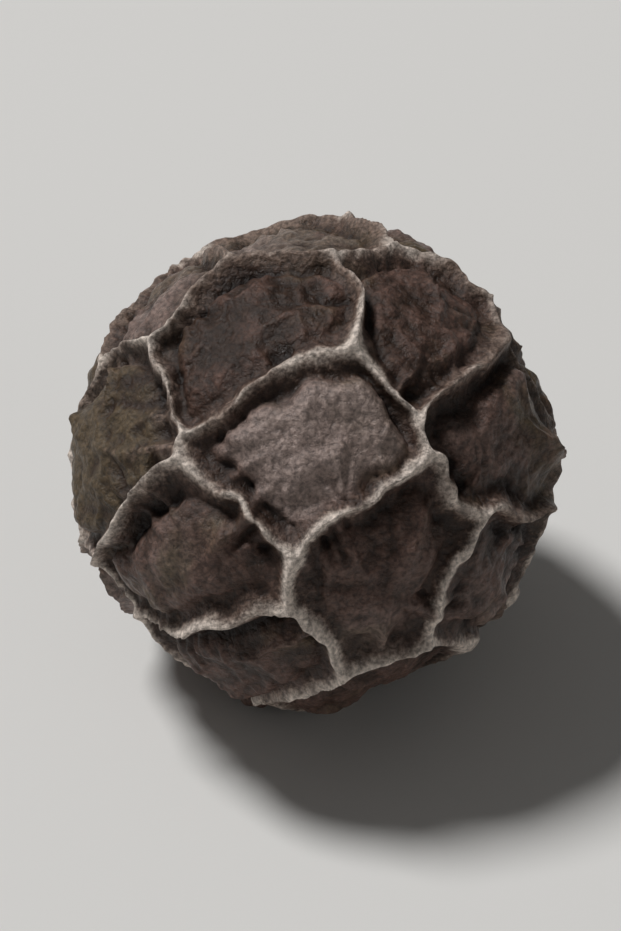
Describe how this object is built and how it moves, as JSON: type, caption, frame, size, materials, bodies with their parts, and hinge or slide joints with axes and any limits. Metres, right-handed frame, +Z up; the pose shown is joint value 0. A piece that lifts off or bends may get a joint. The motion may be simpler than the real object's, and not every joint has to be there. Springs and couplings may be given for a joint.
{
  "type": "black peppercorn",
  "caption": "Whole dried black peppercorn: a small ball with a raised net of thin wavering folds, sunken floors between them, a round stalk scar and a dried tip.",
  "frame": {"origin": "bottom centre, on the small flat spot that the peppercorn rests on", "axes": "+Z up, away from what it lies on; -Y is the side that is looked at, with +X to the right"},
  "size_m": [0.0047, 0.0047, 0.0045],
  "materials": {
    "peppercorn_skin": "matte"
  },
  "bodies": {
    "root": {"peppercorn": "peppercorn_skin"}
  },
  "joints": []
}
